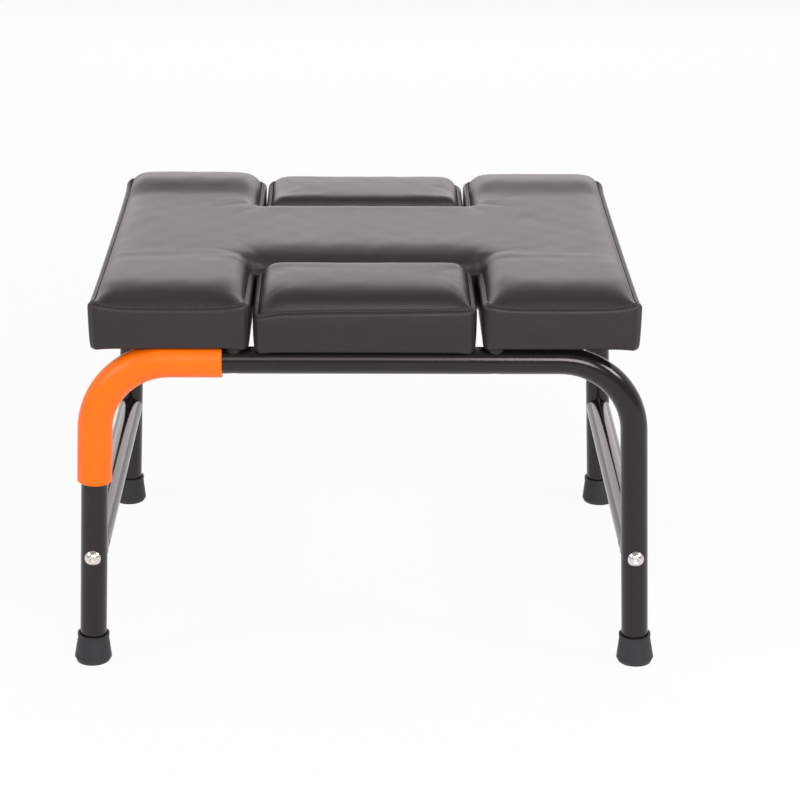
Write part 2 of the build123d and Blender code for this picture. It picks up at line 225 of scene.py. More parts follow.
class Nodes:
    """A node tree whose nodes are added one call at a time."""

    def __init__(self, tree):
        self.tree = tree

    def node(self, kind, settings=None, inputs=None, output=0):
        made = self.tree.nodes.new(kind)
        for name, value in (settings or {}).items():
            if name == "stops":
                ramp = made.color_ramp
                while len(ramp.elements) < len(value):
                    ramp.elements.new(0.5)
                for element, (place, colour) in zip(ramp.elements, value):
                    element.position = place
                    element.color = colour
            else:
                setattr(made, name, value)
        for key, value in (inputs or {}).items():
            if isinstance(value, Value):
                self.tree.links.new(value.socket, made.inputs[key])
            else:
                made.inputs[key].default_value = value
        return Value(self, made.outputs[output])


class Finish(Nodes):
    """A material: one shader, fed by helper calls for places, noises, colours and bumps."""

    def __init__(self, name):
        self.material = bpy.data.materials.new(name)
        self.open("ShaderNodeBsdfPrincipled", "ShaderNodeOutputMaterial")

    def open(self, surface, output):
        self.material.use_nodes = True
        super().__init__(self.material.node_tree)
        self.tree.nodes.clear()
        self.surface = self.tree.nodes.new(surface)
        self.output = self.tree.nodes.new(output)
        self.tree.links.new(self.surface.outputs[0], self.output.inputs[0])

    def place(self, scale=(1.0, 1.0, 1.0)):
        """Object coordinates in metres, scaled per axis."""
        coordinates = self.node("ShaderNodeTexCoord", output="Object")
        return self.node("ShaderNodeMapping", {}, {"Vector": coordinates, "Scale": scale})

    def noise(self, scale, detail=3.0, roughness=0.55, stretch=(1.0, 1.0, 1.0)):
        return self.node("ShaderNodeTexNoise", {},
                         {"Vector": self.place(stretch), "Scale": scale, "Detail": detail,
                          "Roughness": roughness})

    def cells(self, scale, feature="F1", output="Distance"):
        return self.node("ShaderNodeTexVoronoi", {"feature": feature},
                         {"Vector": self.place(), "Scale": scale}, output=output)

    def blend(self, share, first, second):
        """Mix of two colours."""
        mixer = {"data_type": "RGBA", "blend_type": "MIX"}
        return self.node("ShaderNodeMix", mixer, {0: share, 6: first, 7: second}, output=2)

    def bump(self, height, depth, under=None):
        inputs = {"Height": height, "Distance": depth, "Strength": 1.0}
        if under is not None:
            inputs["Normal"] = under
        return self.node("ShaderNodeBump", {}, inputs)

    def feed(self, **sockets):
        """Constants and links of the shader's own sockets; underscores stand for spaces."""
        for name, value in sockets.items():
            socket = self.surface.inputs[name.replace("_", " ")]
            if isinstance(value, Value):
                self.tree.links.new(value.socket, socket)
            else:
                socket.default_value = value
        return self.material


WARM = (1.0, 0.9, 0.92, 1.0)


def shade(colour, factor):
    return tuple(min(1.0, c * factor) for c in colour) + (1.0,)


# ---------------------------------------------------------------- finishes
def leather_finish(colour):
    """Synthetic leather: fine pebbled grain with painted shade in its hollows, faint smears and a
    satin coat.
    """
    f = Finish("seat_leather")
    cloud = f.noise(9.0, 4.0)
    smear = f.noise(60.0, 3.0, stretch=(0.25, 1.0, 1.0))
    grain = f.cells(1150.0, "DISTANCE_TO_EDGE").step(0.0, 0.22)
    pores = f.noise(2400.0, 2.0)
    mottle = cloud * 0.6 + smear * 0.4
    colour_varied = f.blend(mottle.step(0.3, 0.7), shade(colour, 0.82), shade(colour, 1.2))
    # painted shade: the grain's hollows are darkened to 0.55 of the leather's colour, on top of
    # their bump
    colour_with_hollow_shade = f.blend(grain, shade(colour, 0.55), colour_varied)
    normal = f.bump(grain * 0.75 + pores * 0.25, 0.00006)
    return f.feed(Base_Color=colour_with_hollow_shade,
                  Roughness=0.40 + 0.10 * (mottle - 0.5) - 0.06 * (grain - 0.5),
                  Specular_IOR_Level=0.5, Specular_Tint=WARM, Normal=normal)


def thread_finish(colour):
    """Twisted dark polyester thread."""
    f = Finish("seam_thread")
    twist = f.noise(2600.0, 2.0)
    return f.feed(Base_Color=f.blend(twist, shade(colour, 0.7), shade(colour, 1.9)),
                  Roughness=0.5 + 0.2 * twist, Normal=f.bump(twist, 0.00008))


def paint_finish(colour):
    """Gloss stove enamel on tube: slight orange peel and faint dust."""
    f = Finish("frame_paint")
    peel = f.noise(420.0, 2.0)
    dust = f.noise(55.0, 5.0, 0.65).step(0.52, 0.85)
    return f.feed(Base_Color=f.blend(dust * 0.35, shade(colour, 1.0), shade(colour, 1.7)),
                  Roughness=0.13 + 0.10 * dust + 0.03 * peel, Specular_IOR_Level=0.47,
                  Specular_Tint=WARM,
                  Normal=f.bump(peel, 0.00004))


def satin_finish(colour):
    """Satin black enamel of the ledges."""
    f = Finish("ledge_steel")
    peel = f.noise(600.0, 3.0)
    return f.feed(Base_Color=f.blend(peel, shade(colour, 0.8), shade(colour, 1.3)),
                  Roughness=0.42 + 0.12 * peel, Normal=f.bump(peel, 0.00006))


def sleeve_finish(colour):
    """Soft dipped vinyl of the grip sleeve, with a little scuffing."""
    f = Finish("sleeve_orange")
    cloud = f.noise(35.0, 4.0)
    skin = f.noise(900.0, 3.0)
    scuff = f.noise(120.0, 6.0, 0.7, stretch=(1.0, 1.0, 0.35)).step(0.64, 0.8)
    body = f.blend(cloud.step(0.35, 0.7), shade(colour, 0.93), shade(colour, 1.0))
    return f.feed(Base_Color=f.blend(scuff * 0.25, body, (0.55, 0.16, 0.03, 1.0)),
                  Roughness=0.34 + 0.08 * skin + 0.12 * scuff, Specular_IOR_Level=0.31,
                  Normal=f.bump(skin + scuff * 0.4, 0.00006))


def rubber_finish(colour):
    """Moulded rubber of the feet: matt, with a fine skin and grey scuffs near the floor."""
    f = Finish("foot_rubber")
    skin = f.noise(1300.0, 4.0)
    patch = f.noise(70.0, 5.0, 0.65).step(0.5, 0.8)
    return f.feed(Base_Color=f.blend(patch * 0.5, shade(colour, 0.9), shade(colour, 2.1)),
                  Roughness=0.52 + 0.16 * skin + 0.12 * patch,
                  Normal=f.bump(skin + patch * 0.6, 0.00009))


def metal_finish(name, colour, roughness, streak):
    """Plated steel with fine polishing marks."""
    f = Finish(name)
    marks = f.noise(900.0, 3.0, stretch=(0.2, 1.0, streak))
    cloud = f.noise(160.0, 4.0)
    return f.feed(Base_Color=f.blend(cloud, shade(colour, 0.86), shade(colour, 1.06)),
                  Metallic=1.0, Roughness=roughness + 0.12 * marks + 0.05 * cloud,
                  Normal=f.bump(marks, 0.00002))


def plywood_finish(colour):
    """Plywood: long grain on the faces and thin plies across the thickness."""
    f = Finish("plywood")
    grain = f.noise(45.0, 5.0, 0.6, stretch=(0.12, 1.0, 1.0))
    plies = f.node("ShaderNodeTexWave", {"wave_type": "BANDS", "bands_direction": "Z"},
                   {"Vector": f.place(), "Scale": 130.0, "Distortion": 0.4})
    mixed = grain * 0.7 + plies * 0.3
    return f.feed(Base_Color=f.blend(mixed, shade(colour, 0.6), shade(colour, 1.25)),
                  Roughness=0.62 + 0.15 * grain, Normal=f.bump(grain, 0.00015))


def felt_finish(colour):
    """Non-woven spunbond cloth: embossed dots over tangled fibres."""
    f = Finish("underside_cloth")
    fibres = f.noise(900.0, 6.0, 0.75)
    dots = f.cells(620.0).step(0.15, 0.45)
    return f.feed(Base_Color=f.blend(fibres, shade(colour, 0.6), shade(colour, 2.2)),
                  Roughness=0.78 + 0.15 * fibres, Normal=f.bump(dots * 0.6 + fibres, 0.0001))


def plastic_finish(colour):
    """Moulded black plastic of the spacers and pegs."""
    f = Finish("spacer_plastic")
    skin = f.noise(1500.0, 3.0)
    return f.feed(Base_Color=f.blend(skin, shade(colour, 0.8), shade(colour, 1.4)),
                  Roughness=0.45 + 0.12 * skin, Normal=f.bump(skin, 0.00004))


def foam_finish():
    """Cut polyurethane foam, with painted shade in its pores."""
    f = Finish("seat_foam")
    pore_pattern_and_shade = f.cells(900.0).step(0.05, 0.5)
    # painted shade: the pores are darker than the foam between them
    return f.feed(Base_Color=f.blend(pore_pattern_and_shade, (0.5, 0.44, 0.3, 1.0), (0.8, 0.75, 0.6, 1.0)),
                  Roughness=0.85 + 0.1 * pore_pattern_and_shade, Normal=f.bump(pore_pattern_and_shade, 0.0003))


def dress(node_names, material):
    """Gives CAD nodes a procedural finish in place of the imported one."""
    for name in node_names:
        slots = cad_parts[name].data.materials
        slots.clear()
        slots.append(material)


# ---------------------------------------------------------------- upholstery geometry
def rounded_loop(corners, radius, spacing):
    """Evenly sampled closed outline with rounded corners, counter-clockwise from above.

    Returns the points, their outward normals, and for each the corner it rounds, or -1.
    """
    points, normals, tags = [], [], []
    count = len(corners)
    for i in range(count):
        before, here, after = (Vector(corners[(i + k) % count]) for k in (-1, 0, 1))
        into, out = (here - before).normalized(), (after - here).normalized()
        turn = into.x * out.y - into.y * out.x
        side = 1.0 if turn > 0 else -1.0
        start, end = here - into * radius, here + out * radius
        centre = start + Vector((-into.y, into.x)) * radius * side
        steps = 6
        for k in range(steps + 1):
            share = k / steps
            angle = math.radians(90) * share * side
            spoke = start - centre
            turned = Vector((spoke.x * math.cos(angle) - spoke.y * math.sin(angle),
                             spoke.x * math.sin(angle) + spoke.y * math.cos(angle)))
            points.append(centre + turned)
            normals.append(turned.normalized() * side)
            tags.append(i)
        nxt = Vector(corners[(i + 1) % count])
        stop = nxt - (nxt - here).normalized() * radius
        run = stop - end
        pieces = max(1, round(run.length / spacing))
        for k in range(1, pieces):
            points.append(end + run * (k / pieces))
            normals.append(Vector((out.y, -out.x)))
            tags.append(-1)
    return (np.array([tuple(p) for p in points]), np.array([tuple(n) for n in normals]),
            np.array(tags))


def inside(points, corners):
    """Which points lie inside a rectilinear outline."""
    x, y = points[:, 0], points[:, 1]
    held = np.zeros(len(points), bool)
    for (x0, y0), (x1, y1) in zip(corners, corners[1:] + corners[:1]):
        if x0 == x1:
            crosses = ((y0 > y) != (y1 > y)) & (x < x0)
            held ^= crosses
    return held


def edge_distance(points, corners):
    """Distance of points to a rectilinear outline's straight edges."""
    nearest = np.full(len(points), 1e9)
    for a, b in zip(corners, corners[1:] + corners[:1]):
        a, b = np.array(a), np.array(b)
        along = b - a
        share = np.clip(((points - a) @ along) / (along @ along), 0, 1)
        gap = np.linalg.norm(points - (a + share[:, None] * along), axis=1)
        nearest = np.minimum(nearest, gap)
    return nearest


def relax(verts, faces, fixed, target, reach):
    """Heights of a cover drawn from its fixed edge up to a target, over a roll-off reach."""
    a, b, c = verts[faces[:, 0], :2], verts[faces[:, 1], :2], verts[faces[:, 2], :2]
    cross = (b[:, 0] - a[:, 0]) * (c[:, 1] - a[:, 1]) - (b[:, 1] - a[:, 1]) * (c[:, 0] - a[:, 0])
    area = np.maximum(np.abs(cross) / 2, 1e-10)
    rows, cols, weights = [], [], []
    for i, j, k in ((0, 1, 2), (1, 2, 0), (2, 0, 1)):
        p, q, r = (verts[faces[:, n], :2] for n in (i, j, k))
        cot = ((p - r) * (q - r)).sum(1) / (2 * area)
        w = np.maximum(cot, 0.02) / 2
        rows += [faces[:, i], faces[:, j]]
        cols += [faces[:, j], faces[:, i]]
        weights += [w, w]
    rows, cols, weights = np.concatenate(rows), np.concatenate(cols), np.concatenate(weights)
    count = len(verts)
    mass = np.zeros(count)
    for n in range(3):
        mass += np.bincount(faces[:, n], area / 3, count)
    degree = np.bincount(rows, weights, count)
    pull = mass / reach ** 2
    height = verts[:, 2].copy()
    free = ~fixed

    def apply(x):
        y = (degree + pull) * x - np.bincount(rows, weights * x[cols], count)
        y[fixed] = 0
        return y

    held = np.where(fixed, height, 0.0)
    wanted = pull * target + np.bincount(rows, weights * held[cols], count)
    x = np.where(free, target, 0.0)
    residual = np.where(free, wanted - apply(x), 0.0)
    scale = 1 / (degree + pull)
    z = scale * residual
    p, rz = z.copy(), (residual * z).sum()
    for _ in range(400):
        ap = apply(p)
        alpha = rz / max((p * ap).sum(), 1e-30)
        x += alpha * p
        residual -= alpha * ap
        residual[fixed] = 0
        z = scale * residual
        new = (residual * z).sum()
        if new < 1e-16:
            break
        p = z + p * (new / rz)
        rz = new
    return np.where(free, x, height)


def smooth(value, low, high):
    t = np.clip((value - low) / (high - low), 0, 1)
    return t * t * (3 - 2 * t)


class Pad:
    """Outline, heights and seam of one upholstered pad."""

    belly = 0.0010
    front_roll = 0.0
    front_reach = 0.009

    def __init__(self, name, corners, bottom, seam, crown, raises, reach, radius, spacing,
                 droop):
        self.name = name
        self.droop = droop
        self.corners = corners
        self.bottom = bottom
        self.seam = seam
        self.crown = crown
        self.raises = raises
        self.reach = reach
        self.radius = radius
        self.spacing = spacing

    def seam_at(self, points):
        """Height of the seam: it climbs or droops near the corners."""
        height = np.full(len(points), self.seam)
        for corner, lift in zip(self.corners, self.raises):
            gap = np.linalg.norm(points - np.array(corner), axis=1)
            height += lift * (0.5 * np.exp(-((gap / 0.016) ** 2)) + 0.5 * np.exp(-gap / 0.06))
        return height

    def target(self, points):
        """The foam's top, rolling down towards the front edge."""
        front = self.corners[0][1]
        away = points[:, 1] - front
        roll = 1 - smooth(away, -0.004, 0.024)
        inner = smooth(away, 0.080, 0.112) if self.front_roll else 1 - smooth(away, 0.0, 0.030)
        return self.crown - self.front_roll * roll + 0.0025 * inner

    def reach_at(self, points):
        """How far the roll-off reaches in from the seam, softer or tighter at the front."""
        away = points[:, 1] - self.corners[0][1]
        return self.front_reach + (self.reach - self.front_reach) * smooth(away, 0.020, 0.050)

    def folds(self):
        """Folds of the cover: start, end, half width and rise, in metres."""
        (x0, y0), (x1, y1) = self.corners[0], self.corners[2]
        middle = (x0 + x1) / 2
        return [
            ((x0 + 0.006, y0 + 0.010), (x0 + 0.034, y0 + 0.034), 0.004, -0.0006),
            ((x1 - 0.006, y0 + 0.010), (x1 - 0.030, y0 + 0.036), 0.004, -0.0006),
            ((x0 + 0.030, y1 - 0.030), (x0 + 0.110, y1 - 0.042), 0.007, -0.0004),
            ((middle + 0.02, y1 - 0.004), (middle + 0.03, y1 - 0.030), 0.005, 0.0004),
        ]


class SeatPad(Pad):
    """The H-shaped seat: its rear ends stand a little fuller than its middle."""

    end_rise = 0.0035

    def target(self, points):
        """The foam's top: full at the rear ends, and rolling down towards each front edge."""
        x, y = np.abs(points[:, 0]), points[:, 1]
        panel = smooth(x, 0.085, 0.125)
        rear = smooth(y, 0.120, 0.160)
        front = smooth(-y, 0.085, 0.115)
        left = smooth(-points[:, 0], -0.1, 0.2)
        height = self.crown + panel * self.end_rise * (rear * (0.7 + 0.3 * left) + 0.15 * front)
        height -= 0.0048 * panel * (1 - smooth(y, -0.216, -0.176))
        height -= 0.0030 * panel * smooth(y, 0.150, 0.216)
        height -= 0.0010 * panel * (0.4 + 0.6 * left) * np.exp(-((y - 0.124) / 0.013) ** 2)
        height += 0.0025 * (1 - panel) * smooth(y, 0.055, 0.090)
        return height - 0.0070 * (1 - panel) * (1 - smooth(y, -0.094, -0.054))

    def folds(self):
        notch, strip = -self.corners[1][0], -self.corners[2][1]
        made = []
        for side in (-1, 1):
            for end in (-1, 1):
                x, y = side * notch, end * strip
                made += [
                    ((x - side * 0.002, y), (x + side * 0.042, y - end * 0.020), 0.005, -0.0009),
                    ((x, y + end * 0.004), (x + side * 0.050, y + end * 0.004), 0.006, 0.0006),
                    ((x - side * 0.012, y - end * 0.003), (x + side * 0.016, y - end * 0.040),
                     0.005, -0.0007),
                ]
        return made + [
            ((-0.232, -0.088), (-0.125, -0.080), 0.007, 0.0004),
            ((-0.225, -0.102), (-0.120, -0.096), 0.009, -0.0003),
            ((0.130, -0.090), (0.235, -0.098), 0.006, 0.0004),
            ((0.135, -0.102), (0.230, -0.110), 0.008, -0.0003),
            ((-0.228, -0.030), (-0.210, 0.020), 0.010, -0.0006),
            ((0.150, 0.110), (0.225, 0.118), 0.010, -0.0005),
            ((-0.004, -0.088), (0.004, -0.052), 0.006, -0.0010),
            ((0.012, -0.088), (0.014, -0.060), 0.006, 0.0006),
            ((-0.022, 0.088), (-0.012, 0.066), 0.006, 0.0006),
            ((0.160, 0.030), (0.205, -0.020), 0.014, -0.0005),
        ]


def pad_sections(pad, loop, seam_heights):
    """Rings of the pad's skin from the underside's inner edge up to the seam.

    Each ring is (inset, height) with one height for each point of the outline.
    """
    flat = np.full(len(seam_heights), pad.bottom)
    ends = np.array([corner for corner in pad.corners if abs(corner[1]) > 0.2])
    away = np.linalg.norm(loop[:, None, :] - ends[None, :, :], axis=2).min(axis=1)
    hang = pad.droop + 0.0014 * np.exp(-(away / 0.011) ** 2)
    hem = 0.0043
    rings = [(0.030, flat + 0.0004), (0.024, flat), (0.014, flat), (0.0088, flat),
             (0.0074, flat - 0.42 * pad.droop), (hem, flat - hang)]
    for angle in (30, 60, 90):
        a = math.radians(angle)
        rings.append((hem * (1 - math.sin(a)), flat - hang + hem * (1 - math.cos(a))))
    low = flat - hang + hem
    side = seam_heights - 0.0050
    for share in (0.12, 0.24, 0.36, 0.48, 0.60, 0.72, 0.83, 0.92):
        belly = pad.belly * math.sin(math.pi * 0.5 * share ** 0.8)
        rings.append((-belly, low + (side - low) * share))
    for inset, below in ((-1.0, 5.0), (-0.8, 3.6), (-0.1, 2.3), (1.1, 1.2), (2.6, 0.5),
                         (3.7, 0.5), (4.4, 1.0)):
        rings.append((inset * 0.001, seam_heights - below * 0.001))
    return rings


BOTTOM_RINGS = 6
SIDE_SHARE = 0.2
TOP_SHARE = 0.4


def build_pad(pad):
    """Closed mesh of a pad; returns vertices, faces, the seam's ring and point groups."""
    loop, normals, tags = rounded_loop(pad.corners, pad.radius, pad.spacing)
    n = len(loop)
    seam_heights = pad.seam_at(loop)
    rings = pad_sections(pad, loop, seam_heights)
    tuck = np.where((tags >= 0) & (np.roll(tags, 3) == tags) & (np.roll(tags, -3) == tags),
                    0.0008, 0.0)
    verts = []
    for number, (inset, heights) in enumerate(rings):
        sewn = tuck if number >= BOTTOM_RINGS else 0 * tuck
        verts.append(np.column_stack([loop - normals * (inset + sewn)[:, None], heights]))
    seam_ring = len(rings) - 1
    for inset, lift in ((0.0052, -0.0003), (0.0060, 0.0008), (0.0070, 0.002), (0.0084, 0.003)):
        verts.append(np.column_stack([loop - normals * inset, seam_heights + lift]))
    ring_count = len(verts)
    faces = []
    index = np.arange(n)
    following = (index + 1) % n
    for r in range(ring_count - 1):
        a, b = r * n + index, r * n + following
        c, d = (r + 1) * n + following, (r + 1) * n + index
        faces += list(zip(a, b, c, d))

    def fill(ring, spacing, flip):
        """Triangles over the area inside a ring, with grid points that keep clear of it."""
        base = verts[ring]
        edge = [Vector(p[:2]) for p in base]
        low, high = base[:, :2].min(0), base[:, :2].max(0)
        nx, ny = (int((high[k] - low[k]) / spacing) for k in (0, 1))
        gx = np.linspace(low[0], high[0], nx + 1)
        gy = np.linspace(low[1], high[1], ny + 1)
        grid = np.array([(x + (0.25 if j % 2 else -0.25) * spacing, y)
                         for j, y in enumerate(gy) for x in gx])
        inset = np.abs(base[0, :2] - loop[0]).max()
        keep = inside(grid, pad.corners) & (edge_distance(grid, pad.corners)
                                            > inset + 0.65 * spacing)
        grid = grid[keep]
        everything = edge + [Vector(p) for p in grid]
        ring_edges = [(i, (i + 1) % n) for i in range(n)]
        got = delaunay_2d_cdt(everything, ring_edges, [list(range(n))], 1, 1e-7)
        co, tris, origin = got[0], got[2], got[3]
        place = []
        extra = []
        start = sum(len(v) for v in verts) + sum(len(v) for v in interior)
        for p, source in zip(co, origin):
            first = source[0] if source else -1
            if 0 <= first < n:
                place.append(ring * n + first)
            else:
                place.append(start + len(extra))
                extra.append((p.x, p.y, base[:, 2].mean()))
        interior.append(np.array(extra))
        made = [tuple(place[i] for i in t) for t in tris]
        faces.extend([t[::-1] for t in made] if flip else made)
        return np.array(made)

    interior = []
    top = fill(ring_count - 1, pad.spacing, False)
    fill(0, 0.02, True)
    everything = np.vstack(verts + interior)
    first_top = ring_count * n
    last_top = first_top + len(interior[0])
    # top cover: rings from the seam inward and the interior, drawn up to the crown
    band = []
    for r in range(seam_ring, ring_count - 1):
        a, b = r * n + index, r * n + following
        c, d = (r + 1) * n + following, (r + 1) * n + index
        band += [np.column_stack([a, b, c]), np.column_stack([a, c, d])]
    top_faces = np.vstack(band + [top])
    used = np.unique(top_faces)
    renumber = np.zeros(len(everything), int)
    renumber[used] = np.arange(len(used))
    local = everything[used]
    fixed = (used >= seam_ring * n) & (used < (seam_ring + 1) * n)
    heights = relax(local, renumber[top_faces], fixed, pad.target(local[:, :2]),
                    pad.reach_at(local[:, :2]))
    everything[used, 2] = heights
    groups = {
        "ring": n, "rings": ring_count, "seam": seam_ring, "top": (first_top, last_top),
        "tags": tags, "normals": normals, "loop": loop,
    }
    return everything, faces, groups


def mesh_object(name, verts, faces):
    mesh = bpy.data.meshes.new(name)
    mesh.from_pydata([tuple(v) for v in verts], [], [tuple(int(i) for i in f) for f in faces])
    mesh.validate()
    made = bpy.data.objects.new(name, mesh)
    bpy.context.scene.collection.objects.link(made)
    for polygon in mesh.polygons:
        polygon.use_smooth = True
    return made


def coordinates(mesh):
    co = np.zeros(len(mesh.vertices) * 3, np.float32)
    mesh.vertices.foreach_get("co", co)
    return co.reshape(-1, 3).astype(float)


def place_vertices(mesh, co):
    mesh.vertices.foreach_set("co", co.astype(np.float32).ravel())
    mesh.update()


def stuff(made, groups, pressure, limit):
    """Fills a pad by cloth simulation; the seam and the stapled underside hold still."""
    n, seam = groups["ring"], groups["seam"]
    start = coordinates(made.data)
    holds = made.vertex_groups.new(name="sewn")
    held = list(range(0, BOTTOM_RINGS * n)) + list(range((seam - 2) * n, (seam + 2) * n))
    held += list(range(groups["top"][1], len(start)))
    holds.add(held, 1.0, "REPLACE")
    cloth = made.modifiers.new("stuffing", "CLOTH")
    settings = cloth.settings
    settings.quality = 5
    settings.mass = 0.25
    settings.tension_stiffness = 18
    settings.compression_stiffness = 12
    settings.shear_stiffness = 6
    settings.bending_stiffness = 1.2
    settings.use_pressure = True
    settings.uniform_pressure_force = pressure
    settings.effector_weights.gravity = 0
    settings.vertex_group_mass = "sewn"
    cloth.collision_settings.use_collision = False
    cloth.collision_settings.use_self_collision = False
    scene = bpy.context.scene
    cloth.point_cache.frame_start, cloth.point_cache.frame_end = 1, 20
    for number in range(1, 21):
        scene.frame_set(number)
    graph = bpy.context.evaluated_depsgraph_get()
    swollen = made.evaluated_get(graph).to_mesh()
    end = coordinates(swollen)
    made.evaluated_get(graph).to_mesh_clear()
    made.modifiers.remove(cloth)
    scene.frame_set(1)
    moved = end - start
    far = np.linalg.norm(moved, axis=1, keepdims=True)
    capped = moved * (limit * np.tanh(far / limit) / np.maximum(far, 1e-9))
    capped *= (SIDE_SHARE, SIDE_SHARE, TOP_SHARE)
    place_vertices(made.data, start + capped)
    return far.max()


def crease(made, pad):
    """Adds the cover's folds, short puckers along the seam and a little unevenness."""
    co = coordinates(made.data)
    flat = co[:, :2]
    edge = edge_distance(flat, pad.corners)
    top = smooth(co[:, 2], pad.seam - 0.001, pad.seam + 0.003) * smooth(edge, 0.006, 0.012)
    lift = np.zeros(len(co))
    rng = np.random.default_rng(11)
    folds = list(pad.folds())
    ring, normals = pad.seam_line, pad.seam_normals
    place = 0
    while place < len(ring):
        start = ring[place, :2] - normals[place] * 0.001
        skew = np.array([-normals[place][1], normals[place][0]]) * rng.uniform(-0.006, 0.006)
        end = start - normals[place] * rng.uniform(0.010, 0.024) + skew
        folds.append((tuple(start), tuple(end), rng.uniform(0.0025, 0.0045),
                      rng.uniform(-0.0003, 0.0002)))
        place += int(rng.integers(4, 11))
    for start, end, width, rise in folds:
        a, b = np.array(start), np.array(end)
        along = b - a
        share = (flat - a) @ along / (along @ along)
        held = np.clip(share, 0, 1)
        gap = np.linalg.norm(flat - (a + held[:, None] * along), axis=1)
        taper = 1 - 0.75 * held
        lift += rise * taper * np.exp(-((gap / width) ** 2))
    for _ in range(9):
        wave = rng.uniform(70, 190, 2) * rng.choice([-1, 1], 2)
        lift += 0.000025 * np.sin(flat @ wave + rng.uniform(0, 6.28))
    co[:, 2] += lift * top
    place_vertices(made.data, co)


def subdivide(made):
    """Applies one level of subdivision."""
    modifier = made.modifiers.new("finer", "SUBSURF")
    modifier.levels = 1
    modifier.render_levels = 1
    graph = bpy.context.evaluated_depsgraph_get()
    finer = bpy.data.meshes.new_from_object(made.evaluated_get(graph))
    finer.name = made.name
    made.modifiers.remove(modifier)
    made.vertex_groups.clear()
    old = made.data
    made.data = finer
    bpy.data.meshes.remove(old)


def make_pad(pad, body, replaced, material):
    """Builds, fills and finishes one pad."""
    settings = bpy.context.scene.stool_pads
    verts, faces, groups = build_pad(pad)
    made = mesh_object(pad.name, verts, faces)
    swell = stuff(made, groups, settings.pressure, settings.swell_limit)
    print(pad.name, "swelled at most", round(float(swell) * 1000, 2), "mm")
    ring = coordinates(made.data)[groups["seam"] * groups["ring"]:
                                  (groups["seam"] + 1) * groups["ring"]]
    pad.seam_line = ring
    pad.seam_normals = groups["normals"]
    subdivide(made)
    crease(made, pad)
    made.data.materials.append(material)
    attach(made, body)
    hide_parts(*replaced)
    print(pad.name, len(made.data.polygons), "faces")
    return made


def seat_description():
    settings = bpy.context.scene.stool_pads
    low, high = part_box("seat_cover")
    filler_low, filler_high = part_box("front_filler_cover")
    x, y = high.x, high.y
    notch = FILLER_HALF + settings.slit
    rear = notch - 0.0006
    wide = FILLER_HALF + settings.wide_slit
    strip = -filler_high.y - 0.0048
    corners = [(-x, -y), (-notch, -y), (-notch, -strip), (wide, -strip), (wide, -y), (x, -y),
               (x, y), (rear, y), (rear, strip), (-rear, strip), (-rear, y), (-x, y)]
    lift = settings.corner_raise
    raises = [lift, 0.8 * lift, 0, 0, 0.7 * lift, 0.9 * lift,
              0.85 * lift, 0.6 * lift, 0, 0, 0.6 * lift, 1.15 * lift]
    pad = SeatPad("seat_pad", corners, low.z, settings.seam_height, settings.crown_height,
                  raises, settings.roll_off, settings.corner_radius, 0.004, settings.droop)
    pad.end_rise = settings.end_rise
    return pad


def filler_description(end):
    settings = bpy.context.scene.stool_pads
    name = "front_filler" if end < 0 else "rear_filler"
    low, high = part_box(name + "_cover")
    half = FILLER_HALF
    corners = [(-half, low.y), (half, low.y), (half, high.y), (-half, high.y)]
    raises = [-0.006, 0.0015, 0.0025, 0.0025] if end < 0 else [0.001, 0.001, 0.0015, 0.006]
    pad = Pad(name + "_pad", corners, low.z, settings.filler_seam, settings.filler_crown,
              raises, 0.0045, settings.corner_radius, 0.004, settings.droop)
    pad.front_roll, pad.front_reach = (0.0013, 0.0072) if end < 0 else (0.0, 0.003)
    return pad


# ---------------------------------------------------------------- sewing and staples
class Tree(Nodes):
    """A Geometry Nodes tree with named inputs; its output is set at the end."""

    def __init__(self, name, sockets):
        super().__init__(bpy.data.node_groups.new(name, "GeometryNodeTree"))
        face = self.tree.interface
        face.new_socket("Geometry", in_out="INPUT", socket_type="NodeSocketGeometry")
        for label, kind in sockets:
            face.new_socket(label, in_out="INPUT", socket_type="NodeSocket" + kind)
        face.new_socket("Geometry", in_out="OUTPUT", socket_type="NodeSocketGeometry")
        self.source = self.tree.nodes.new("NodeGroupInput")

    def input(self, label):
        return Value(self, self.source.outputs[label])

    def close(self, geometry):
        end = self.tree.nodes.new("NodeGroupOutput")
        self.tree.links.new(geometry.socket, end.inputs[0])
        return self.tree


def welt_tree():
    """Round sewn fold along a seam's path."""
    t = Tree("sewn_welt", (("Thickness", "Float"), ("Spacing", "Float"),
                           ("Leather", "Material")))
    path = t.node("GeometryNodeMeshToCurve", {}, {0: t.input("Geometry")})
    even = t.node("GeometryNodeResampleCurve", {"mode": "LENGTH"},
                  {"Curve": path, "Length": t.input("Spacing")})
    ring = t.node("GeometryNodeCurvePrimitiveCircle", {"mode": "RADIUS"},
                  {"Resolution": 10, "Radius": t.input("Thickness") * 0.5})
    fold = t.node("GeometryNodeCurveToMesh", {}, {"Curve": even, "Profile Curve": ring})
    whole = t.node("GeometryNodeRealizeInstances", {}, {0: fold})
    return t.close(t.node("GeometryNodeSetMaterial", {},
                          {"Geometry": whole, "Material": t.input("Leather")}))


